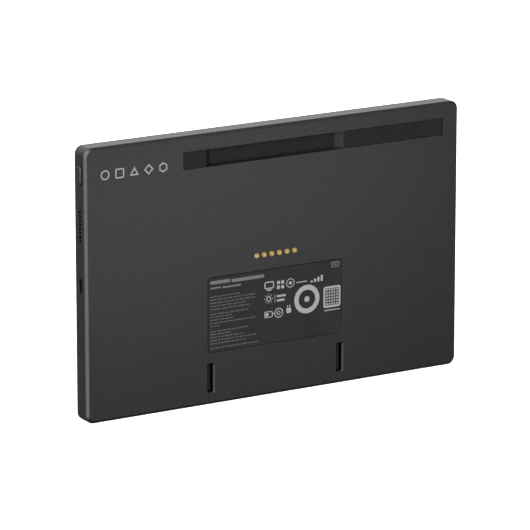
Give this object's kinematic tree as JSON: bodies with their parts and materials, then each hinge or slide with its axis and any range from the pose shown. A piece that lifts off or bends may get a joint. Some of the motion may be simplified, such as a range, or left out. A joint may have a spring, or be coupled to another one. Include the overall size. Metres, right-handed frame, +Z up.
{
  "type": "wall-dock home energy display panel",
  "caption": "Slim touch-screen home energy display: dark anodised tray shell, glass front, rear dock pocket, hook slots, charging contacts, side socket and sleep button.",
  "frame": {"origin": "middle of the flat bottom edge, halfway through the thickness", "axes": "+Z up, +Y out of the rear face with the dock features, -Y out of the screen, +X out of the side with the socket, speaker holes and sleep button"},
  "size_m": [0.2636, 0.0124, 0.1689],
  "materials": {
    "shell_metal": "dark grey anodised, fine blasted grain",
    "window_plastic": "dark moulded plastic, fine texture",
    "black_plastic": "black moulded plastic, satin",
    "cup_plastic": "dead black moulded plastic",
    "socket_black": "black coated, satin",
    "cover_glass": "polished, black printed back",
    "display_stack": "dark polariser, switched off",
    "clear_bond": "clear optical adhesive",
    "light_guide": "milky acrylic",
    "steel": "pressed sheet, satin",
    "screw_steel": "zinc plated",
    "plate_metal": "mill finish sheet",
    "contact_gold": "gold plated, satin",
    "circuit_board": "solder mask over glass fibre laminate",
    "chip_black": "moulded package",
    "connector_plastic": "moulded, satin",
    "battery_film": "laminated pouch film",
    "seal_rubber": "moulded silicone",
    "tape": "double sided tape",
    "flat_cable": "polyimide flat cable",
    "lead_jacket": "extruded jacket",
    "antenna_sheet": "laminate with printed aerial",
    "thermal_pad": "filled silicone",
    "driver": "moulded frame and cone",
    "mesh": "woven dust mesh",
    "label_film": "printed film, satin",
    "button_metal": "dark grey anodised",
    "plunger": "moulded"
  },
  "bodies": {
    "panel": {"antenna_lead_main": "lead_jacket", "antenna_lead_second": "lead_jacket", "antenna_main": "antenna_sheet", "antenna_second": "antenna_sheet", "antenna_window": "window_plastic", "back_shell": "shell_metal", "backlight_tray": "steel", "battery_board": "circuit_board", "battery_cell_left": "battery_film", "battery_cell_right": "battery_film", "battery_lead": "lead_jacket", "board_chips": "chip_black", "board_connectors": "connector_plastic", "board_screws": "screw_steel", "board_standoffs": "steel", "bracket_screw": "screw_steel", "button_bracket": "steel", "cell_tapes": "tape", "contact_block": "connector_plastic", "contact_board": "circuit_board", "contact_flex": "flat_cable", "contact_gasket": "seal_rubber", "contact_pads": "contact_gold", "contact_screws": "screw_steel", "cover_glass": "cover_glass", "display_flex": "flat_cable", "front_frame": "black_plastic", "glass_adhesive": "tape", "hook_cup_left": "cup_plastic", "hook_cup_right": "cup_plastic", "hook_pocket_tray": "window_plastic", "lcd_panel": "display_stack", "lead_plugs": "contact_gold", "light_guide": "light_guide", "main_board": "circuit_board", "mid_plate": "plate_metal", "optical_bond": "clear_bond", "plate_screws": "screw_steel", "power_shield": "steel", "processor": "chip_black", "processor_shield": "steel", "rating_label": "label_film", "shell_gasket": "seal_rubber", "speaker_box": "connector_plastic", "speaker_driver": "driver", "speaker_gasket": "seal_rubber", "speaker_grille": "cup_plastic", "speaker_mesh": "mesh", "switch_body": "chip_black", "switch_flex": "flat_cable", "thermal_pad": "thermal_pad", "touch_flex": "flat_cable", "usb_board": "circuit_board", "usb_flex": "flat_cable", "usb_gasket": "seal_rubber", "usb_shell": "socket_black", "usb_tongue": "socket_black", "wireless_shield": "steel"},
    "button": {"power_button": "button_metal", "switch_plunger": "plunger"}
  },
  "joints": [
    {"name": "sleep_button_press", "type": "slide", "parent": "panel", "child": "button", "axis": [-1, 0, 0], "range_m": [0, 0.0003], "stiffness_N_per_m": 600, "springref_m": -0.002}
  ]
}
